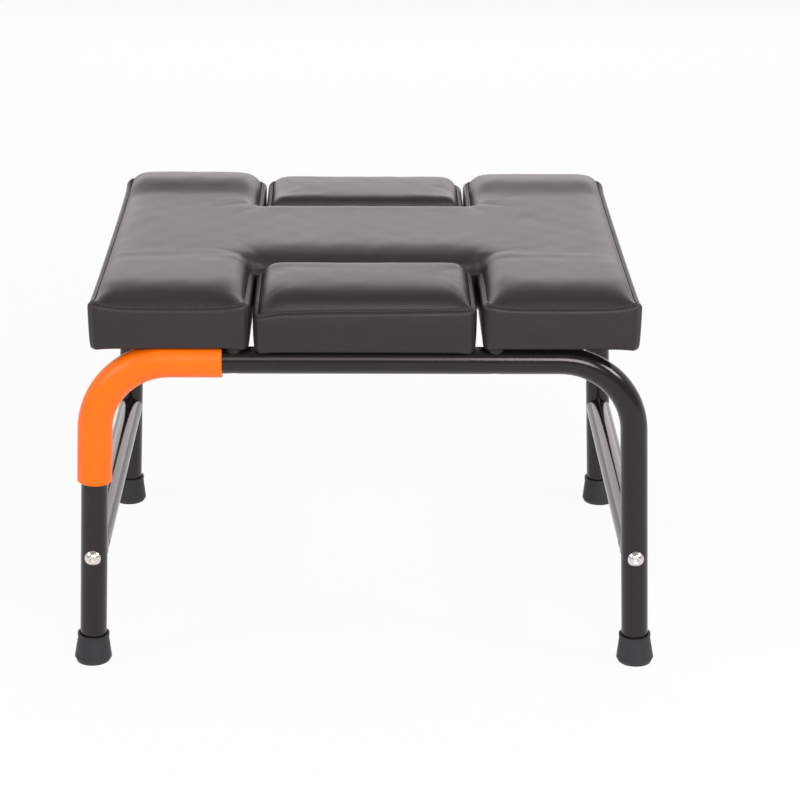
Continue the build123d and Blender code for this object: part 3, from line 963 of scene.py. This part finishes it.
def repeat_tree(name, label):
    """Copies of a small piece along a path, turned along it, with a slight unevenness."""
    t = Tree(name, (("Pitch", "Float"), ("Lift", "Float"), ("Sway", "Float"),
                    ("Seed", "Int"), (label, "Object"), ("Material", "Material")))
    path = t.node("GeometryNodeMeshToCurve", {}, {0: t.input("Geometry")})
    even = t.node("GeometryNodeResampleCurve", {"mode": "LENGTH"},
                  {"Curve": path, "Length": t.input("Pitch")})
    rise = t.node("GeometryNodeInputNamedAttribute", {"data_type": "FLOAT_VECTOR"},
                  {"Name": "rise"})
    lifted = t.node("ShaderNodeVectorMath", {"operation": "SCALE"},
                    {0: rise, "Scale": t.input("Lift")})
    raised = t.node("GeometryNodeSetPosition", {}, {"Geometry": even, "Offset": lifted})
    along = t.node("GeometryNodeInputTangent")
    facing = t.node("FunctionNodeAlignRotationToVector", {"axis": "Z"}, {"Vector": rise})
    turned = t.node("FunctionNodeAlignRotationToVector", {"axis": "X", "pivot_axis": "Z"},
                    {"Rotation": facing, "Vector": along})
    sway = t.node("FunctionNodeRandomValue", {"data_type": "FLOAT"},
                  {2: t.input("Sway") * -1.0, 3: t.input("Sway"), "Seed": t.input("Seed")},
                  output=1)
    tilt = t.node("ShaderNodeCombineXYZ", {}, {"Z": sway})
    wobble = t.node("FunctionNodeEulerToRotation", {}, {0: tilt})
    uneven = t.node("FunctionNodeRotateRotation", {"rotation_space": "LOCAL"},
                    {0: turned, 1: wobble})
    piece = t.node("GeometryNodeObjectInfo", {"transform_space": "ORIGINAL"},
                   {"Object": t.input(label)}, output="Geometry")
    copies = t.node("GeometryNodeInstanceOnPoints", {},
                    {"Points": raised, "Instance": piece, "Rotation": uneven})
    whole = t.node("GeometryNodeRealizeInstances", {}, {0: copies})
    return t.close(t.node("GeometryNodeSetMaterial", {},
                          {"Geometry": whole, "Material": t.input("Material")}))


def path_object(name, points, rises):
    """Closed path of edges whose points carry the direction that faces away from the piece."""
    count = len(points)
    mesh = bpy.data.meshes.new(name)
    mesh.from_pydata([tuple(p) for p in points], [(i, (i + 1) % count) for i in range(count)],
                     [])
    rise = mesh.attributes.new("rise", "FLOAT_VECTOR", "POINT")
    rise.data.foreach_set("vector", np.asarray(rises, np.float32).ravel())
    made = bpy.data.objects.new(name, mesh)
    bpy.context.scene.collection.objects.link(made)
    return made


def grown(name, path, tree, values):
    """Plain mesh of a tree run over a path; the path's own object is removed."""
    modifier = path.modifiers.new("grow", "NODES")
    modifier.node_group = tree
    for item in tree.interface.items_tree:
        if item.in_out == "INPUT" and item.name in values:
            modifier[item.identifier] = values[item.name]
    graph = bpy.context.evaluated_depsgraph_get()
    mesh = bpy.data.meshes.new_from_object(path.evaluated_get(graph))
    mesh.name = name
    bpy.data.objects.remove(path)
    made = bpy.data.objects.new(name, mesh)
    bpy.context.scene.collection.objects.link(made)
    for polygon in mesh.polygons:
        polygon.use_smooth = True
    return made


def bar_mesh(name, points, across, thick, sides=6):
    """Closed bar along a short path of points, used as one stitch or one staple."""
    verts, faces = [], []
    points = [Vector(p) for p in points]
    for i, p in enumerate(points):
        ahead = points[min(i + 1, len(points) - 1)] - points[max(i - 1, 0)]
        ahead.normalize()
        side = Vector((0, 1, 0))
        up = side.cross(ahead) * -1
        end = 0.55 if i in (0, len(points) - 1) else 1.0
        for k in range(sides):
            a = 2 * math.pi * k / sides
            verts.append(p + side * (math.cos(a) * across / 2 * end)
                         + up * (math.sin(a) * thick / 2 * end))
    for i in range(len(points) - 1):
        for k in range(sides):
            a, b = i * sides + k, i * sides + (k + 1) % sides
            faces.append((a, b, b + sides, a + sides))
    faces.append(tuple(reversed(range(sides))))
    faces.append(tuple(range((len(points) - 1) * sides, len(points) * sides)))
    made = mesh_object(name, verts, faces)
    outwards(made)
    return made


def outwards(made):
    """Turns every face of a closed mesh outwards."""
    work = bmesh.new()
    work.from_mesh(made.data)
    bmesh.ops.remove_doubles(work, verts=work.verts, dist=1e-7)
    bmesh.ops.recalc_face_normals(work, faces=work.faces)
    work.to_mesh(made.data)
    work.free()


def sew(pad, body, leather, thread):
    """Welt and stitches along a pad's seam."""
    sizes = bpy.context.scene.stool_seams
    normals = np.column_stack([pad.seam_normals, np.zeros(len(pad.seam_normals))])
    rises = normals * 0.62 + np.array([0, 0, 0.78])
    middle = pad.seam_line + normals * 0.0008 + np.array([0, 0, 0.0008])
    welt = grown(pad.name + "_welt", path_object("path", middle, rises), TREES["welt"],
                 {"Thickness": sizes.welt, "Spacing": 0.003, "Leather": leather})
    outwards(welt)
    stitch_side = normals * 0.35 + np.array([0, 0, 0.93])
    below = pad.seam_line + normals * 0.0023 + np.array([0, 0, 0.00042])
    stitch = bar_mesh("one_stitch", [(-sizes.length / 2, 0, -0.0004),
                                     (-sizes.length * 0.36, 0, 0), (0, 0, 0.00008),
                                     (sizes.length * 0.36, 0, 0),
                                     (sizes.length / 2, 0, -0.0004)],
                      sizes.thread, sizes.thread)
    stitches = grown(pad.name + "_stitches", path_object("path", below, stitch_side),
                     TREES["stitch"],
                     {"Pitch": sizes.pitch, "Lift": 0.0, "Sway": 0.10, "Seed": 5,
                      "Stitch": stitch, "Material": thread})
    bpy.data.objects.remove(stitch)
    for piece in (welt, stitches):
        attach(piece, body)


def underside(pad, body, node, felt, steel):
    """Cloth stapled under a pad's board, with its row of staples."""
    sizes = bpy.context.scene.stool_seams
    margin = 0.0265
    loop, normals, _ = rounded_loop(pad.corners, pad.radius, 0.008)
    rim = loop - normals * margin
    low, high = rim.min(0), rim.max(0)
    xs = np.arange(low[0], high[0], 0.009)
    ys = np.arange(low[1], high[1], 0.009)
    grid = np.array([(x, y) for y in ys for x in xs])
    grid = grid[inside(grid, pad.corners) & (edge_distance(grid, pad.corners) > margin + 0.006)]
    n = len(rim)
    got = delaunay_2d_cdt([Vector(p) for p in rim] + [Vector(p) for p in grid],
                          [(i, (i + 1) % n) for i in range(n)], [list(range(n))], 1, 1e-7)
    flat = np.array([tuple(p) for p in got[0]])
    depth = edge_distance(flat, pad.corners) - margin
    rng = np.random.default_rng(3)
    sag = np.zeros(len(flat))
    for _ in range(8):
        wave = rng.uniform(40, 120, 2) * rng.choice([-1, 1], 2)
        sag += 0.00006 * (1 + np.sin(flat @ wave + rng.uniform(0, 6.28)))
    height = pad.bottom - 0.00012 - sag * smooth(depth, 0.004, 0.03)
    cloth = mesh_object(pad.name + "_underside", np.column_stack([flat, height]),
                        [tuple(reversed(f)) for f in got[2]])
    wall = cloth.modifiers.new("wall", "SOLIDIFY")
    wall.thickness = 0.0004
    wall.offset = 1.0
    graph = bpy.context.evaluated_depsgraph_get()
    solid = bpy.data.meshes.new_from_object(cloth.evaluated_get(graph))
    cloth.modifiers.remove(wall)
    cloth.data = solid
    cloth.data.materials.append(felt)
    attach(cloth, body)
    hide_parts(node)
    high[0] - low[0]
    high[1] - low[1]
    line = loop - normals * (margin + 0.006)
    points = np.column_stack([line, np.full(n, pad.bottom - 0.0007)])
    staple = bar_mesh("one_staple", [(-0.0052, 0, -0.0007), (-0.005, 0, 0.0001),
                                     (-0.0044, 0, 0.0003), (0.0044, 0, 0.0003),
                                     (0.005, 0, 0.0001), (0.0052, 0, -0.0007)],
                      0.0012, 0.0005)
    staples = grown(pad.name + "_staples", path_object("path", points, [(0, 0, -1.0)] * n),
                    TREES["staple"],
                    {"Pitch": sizes.staple_pitch, "Lift": 0.0, "Sway": 0.16, "Seed": 9,
                     "Staple": staple, "Material": steel})
    bpy.data.objects.remove(staple)
    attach(staples, body)


# ---------------------------------------------------------------- operators
TREES = {}
PADS = {}
FINISHES = {}
PAD_BODIES = (("seat", "stool"), ("front_filler", "front_filler"),
              ("rear_filler", "rear_filler"))


def finish_named(name, make):
    if name not in FINISHES:
        FINISHES[name] = make()
    return FINISHES[name]


class STOOL_OT_frame(bpy.types.Operator):
    """Gloss paint on the leg frames and stretchers"""

    bl_idname = "stool.frame"
    bl_label = "Leg frames and stretchers"

    def execute(self, context):
        colours = context.scene.stool_finishes
        paint = finish_named("paint", lambda: paint_finish(colours.paint))
        dress(["front_leg_frame", "rear_leg_frame", "left_stretcher", "right_stretcher"], paint)
        return {"FINISHED"}


class STOOL_OT_sleeve(bpy.types.Operator):
    """Orange vinyl sleeve round the front left bend"""

    bl_idname = "stool.sleeve"
    bl_label = "Grip sleeve"

    def execute(self, context):
        colours = context.scene.stool_finishes
        dress(["grip_sleeve"], finish_named("sleeve", lambda: sleeve_finish(colours.sleeve)))
        return {"FINISHED"}


class STOOL_OT_feet(bpy.types.Operator):
    """Rubber ferrule feet"""

    bl_idname = "stool.feet"
    bl_label = "Feet"

    def execute(self, context):
        colours = context.scene.stool_finishes
        rubber = finish_named("rubber", lambda: rubber_finish(colours.rubber))
        dress([f"{end}_{side}_foot" for end in ("front", "rear") for side in ("left", "right")],
              rubber)
        return {"FINISHED"}


class STOOL_OT_hardware(bpy.types.Operator):
    """Bolts, inserts, washers, screws, ledges, spacers and pegs"""

    bl_idname = "stool.hardware"
    bl_label = "Bolts and fittings"

    def execute(self, context):
        colours = context.scene.stool_finishes
        nickel = finish_named(
            "nickel", lambda: metal_finish("bolt_nickel", colours.nickel, 0.14, 1.0))
        zinc = finish_named(
            "zinc", lambda: metal_finish("zinc_steel", colours.zinc, 0.28, 0.4))
        satin = finish_named("satin", lambda: satin_finish((0.02, 0.02, 0.02)))
        plastic = finish_named("plastic", lambda: plastic_finish((0.005, 0.005, 0.005)))
        dress(["front_frame_bolts", "rear_frame_bolts"], nickel)
        dress(["left_stretcher_inserts", "right_stretcher_inserts", "foot_washers", "seat_bolts",
               "tee_nuts", "front_ledge_screws", "rear_ledge_screws"], zinc)
        dress(["front_ledge", "rear_ledge"], satin)
        dress(["saddle_spacers", "front_filler_pegs", "rear_filler_pegs"], plastic)
        return {"FINISHED"}


class STOOL_OT_boards(bpy.types.Operator):
    """Plywood boards inside the pads"""

    bl_idname = "stool.boards"
    bl_label = "Boards"

    def execute(self, context):
        colours = context.scene.stool_finishes
        ply = finish_named("ply", lambda: plywood_finish(colours.ply))
        dress(["seat_board", "front_filler_board", "rear_filler_board"], ply)
        dress(["seat_foam", "front_filler_foam", "rear_filler_foam"],
              finish_named("foam", foam_finish))
        return {"FINISHED"}


class STOOL_OT_seat(bpy.types.Operator):
    """H-shaped seat pad, filled by cloth simulation"""

    bl_idname = "stool.seat"
    bl_label = "Seat pad"

    def execute(self, context):
        colours = context.scene.stool_finishes
        leather = finish_named("leather", lambda: leather_finish(colours.leather))
        pad = seat_description()
        make_pad(pad, "stool", ["seat_cover", "seat_foam"], leather)
        PADS["seat"] = pad
        return {"FINISHED"}


class STOOL_OT_fillers(bpy.types.Operator):
    """Front and rear filler pads, filled by cloth simulation"""

    bl_idname = "stool.fillers"
    bl_label = "Filler pads"

    def execute(self, context):
        colours = context.scene.stool_finishes
        leather = finish_named("leather", lambda: leather_finish(colours.leather))
        for name, end in (("front_filler", -1), ("rear_filler", 1)):
            pad = filler_description(end)
            make_pad(pad, name, [name + "_cover", name + "_foam"], leather)
            PADS[name] = pad
        return {"FINISHED"}


class STOOL_OT_seams(bpy.types.Operator):
    """Welts and stitches along the seams of the three pads"""

    bl_idname = "stool.seams"
    bl_label = "Seams"

    def execute(self, context):
        colours = context.scene.stool_finishes
        leather = finish_named("leather", lambda: leather_finish(colours.leather))
        thread = finish_named("thread", lambda: thread_finish((0.085, 0.083, 0.078)))
        TREES["welt"] = welt_tree()
        TREES["stitch"] = repeat_tree("seam_stitches", "Stitch")
        for name, body in PAD_BODIES:
            if name not in PADS:
                raise RuntimeError("make the pads before their seams")
            sew(PADS[name], body, leather, thread)
        return {"FINISHED"}


class STOOL_OT_underside(bpy.types.Operator):
    """Cloth and staples under the three pads"""

    bl_idname = "stool.underside"
    bl_label = "Underside cloth"

    def execute(self, context):
        colours = context.scene.stool_finishes
        felt = finish_named("felt", lambda: felt_finish(colours.cloth))
        steel = finish_named(
            "zinc", lambda: metal_finish("zinc_steel", colours.zinc, 0.28, 0.4))
        TREES["staple"] = repeat_tree("cloth_staples", "Staple")
        for name, body in PAD_BODIES:
            if name not in PADS:
                raise RuntimeError("make the pads before their underside")
            underside(PADS[name], body, name + "_cloth", felt, steel)
        return {"FINISHED"}


class STOOL_OT_studio(bpy.types.Operator):
    """White floor, soft lamps and the camera"""

    bl_idname = "stool.studio"
    bl_label = "Studio"

    def execute(self, context):
        settings = context.scene.stool_studio
        scene = context.scene
        make_camera(scene, settings)
        make_floor(settings)
        make_sky(scene, settings)
        make_lamps(settings.lamp_level)
        scene.view_settings.view_transform = "Standard"
        return {"FINISHED"}


def make_camera(scene, settings):
    data = bpy.data.cameras.new("camera")
    data.lens = settings.camera_lens
    data.sensor_width = 36
    data.sensor_fit = "HORIZONTAL"
    data.shift_x = 0.0425
    data.clip_end = 50
    camera = bpy.data.objects.new("camera", data)
    scene.collection.objects.link(camera)
    turn = (Matrix.Rotation(math.radians(-0.0637), 3, "Z")
            @ Matrix.Rotation(math.radians(90) - settings.camera_pitch, 3, "X")
            @ Matrix.Rotation(math.radians(0.1316), 3, "Z"))
    camera.location = (-0.00113, -settings.camera_distance, settings.camera_height)
    camera.rotation_euler = turn.to_euler()
    scene.camera = camera


def make_floor(settings):
    size = 8.0
    floor = mesh_object("floor", [(-size, -size, 0), (size, -size, 0), (size, size, 0),
                                  (-size, size, 0)], [(0, 1, 2, 3)])
    f = Finish("floor_white")
    f.feed(Base_Color=tuple(settings.floor_colour) + (1.0,), Roughness=0.9,
           Specular_IOR_Level=0.1)
    seen = f.node("ShaderNodeLightPath", output="Is Camera Ray")
    mirrored = f.node("ShaderNodeLightPath", output="Is Glossy Ray")
    through = f.node("ShaderNodeLightPath", output="Is Transmission Ray")
    share = (seen + mirrored + through).math("MINIMUM", 1.0) * 0.93
    glow = f.node("ShaderNodeEmission", {}, {"Color": (1, 1, 1, 1), "Strength": 1.0})
    base = Value(f, f.surface.outputs[0])
    mixed = f.node("ShaderNodeMixShader", {}, {0: share, 1: base, 2: glow})
    f.tree.links.new(mixed.socket, f.output.inputs[0])
    floor.data.materials.append(f.material)


class Sky(Finish):
    """Node helper for the world, whose output is a background."""

    def __init__(self, name):
        self.material = bpy.data.worlds.new(name)
        self.open("ShaderNodeBackground", "ShaderNodeOutputWorld")


def make_sky(scene, settings):
    """White to the camera; in reflections it is dimmer on the camera's side of the room."""
    sky = Sky("studio")
    seen = sky.node("ShaderNodeLightPath", output="Is Camera Ray")
    through = sky.node("ShaderNodeLightPath", output="Is Transmission Ray")
    mirrored = sky.node("ShaderNodeLightPath", output="Is Glossy Ray")
    direction = sky.node("ShaderNodeTexCoord", output="Generated")
    depth = sky.node("ShaderNodeSeparateXYZ", {}, {0: direction}, output="Y")
    height = sky.node("ShaderNodeSeparateXYZ", {}, {0: direction}, output="Z")
    back = depth.step(-0.35, 0.45)
    room = settings.front_level + (1.0 - settings.front_level) * back
    room = room * (1.0 - 0.26 * height.step(0.50, 0.95))
    white = seen.math("MAXIMUM", through)
    level = settings.sky_level + mirrored * (room - settings.sky_level)
    sky.feed(Strength=level + white * (1.0 - level))
    sky.feed(Color=sky.blend(white, LAMP_TINT + (1.0,), (1.0, 1.0, 1.0, 1.0)))
    scene.world = sky.material


LAMP_TINT = (1.0, 0.943, 0.948)


def make_lamps(level):
    """Long softboxes above the camera, one at each side and a wide one behind."""
    target = Vector((0, 0, 0.3))
    for name, place, width, depth, power in (
            ("front_box", (0.0, -2.55, 1.56), 2.4, 0.95, 17.5),
            ("key_box", (0.85, -2.50, 1.54), 1.2, 0.80, 25.5),
            ("left_box", (-1.7, -0.9, 1.3), 0.7, 0.7, 13.0),
            ("right_box", (1.8, -0.7, 1.5), 0.6, 0.6, 15.0),
            ("back_box", (0.0, 2.7, 1.05), 3.2, 1.5, 20.5)):
        data = bpy.data.lights.new(name, "AREA")
        data.shape = "RECTANGLE"
        data.size = width
        data.size_y = depth
        data.energy = power * level
        data.color = LAMP_TINT
        lamp = bpy.data.objects.new(name, data)
        bpy.context.scene.collection.objects.link(lamp)
        lamp.visible_camera = False
        lamp.location = place
        aim = target - Vector(place)
        lamp.rotation_euler = aim.to_track_quat("-Z", "Y").to_euler()


class STOOL_PT_panel(bpy.types.Panel):
    """Sizes, colours and steps of the stool"""

    bl_label = "Headstand stool"
    bl_idname = "STOOL_PT_panel"
    bl_space_type = "VIEW_3D"
    bl_region_type = "UI"
    bl_category = "Stool"

    def draw(self, context):
        layout = self.layout
        for group in (context.scene.stool_pads, context.scene.stool_seams,
                      context.scene.stool_finishes, context.scene.stool_studio):
            box = layout.box()
            for name in group.__annotations__:
                box.prop(group, name)
        for operator in OPERATORS:
            layout.operator(operator.bl_idname)


GROUPS = (("stool_pads", PadSettings), ("stool_seams", SeamSettings),
          ("stool_finishes", FinishSettings), ("stool_studio", StudioSettings))
OPERATORS = (STOOL_OT_frame, STOOL_OT_sleeve, STOOL_OT_feet, STOOL_OT_hardware, STOOL_OT_boards,
             STOOL_OT_seat, STOOL_OT_fillers, STOOL_OT_seams, STOOL_OT_underside,
             STOOL_OT_studio)


def register():
    for name, group in GROUPS:
        bpy.utils.register_class(group)
        setattr(bpy.types.Scene, name, bpy.props.PointerProperty(type=group))
    for operator in OPERATORS:
        bpy.utils.register_class(operator)
    bpy.utils.register_class(STOOL_PT_panel)


def unregister():
    bpy.utils.unregister_class(STOOL_PT_panel)
    for operator in reversed(OPERATORS):
        bpy.utils.unregister_class(operator)
    for name, group in reversed(GROUPS):
        delattr(bpy.types.Scene, name)
        bpy.utils.unregister_class(group)


def main():
    register()
    bpy.ops.stool.frame()
    bpy.ops.stool.sleeve()
    bpy.ops.stool.feet()
    bpy.ops.stool.hardware()
    bpy.ops.stool.boards()
    bpy.ops.stool.seat()
    bpy.ops.stool.fillers()
    bpy.ops.stool.seams()
    bpy.ops.stool.underside()
    bpy.ops.stool.studio()


if __name__ == "__main__":
    main()
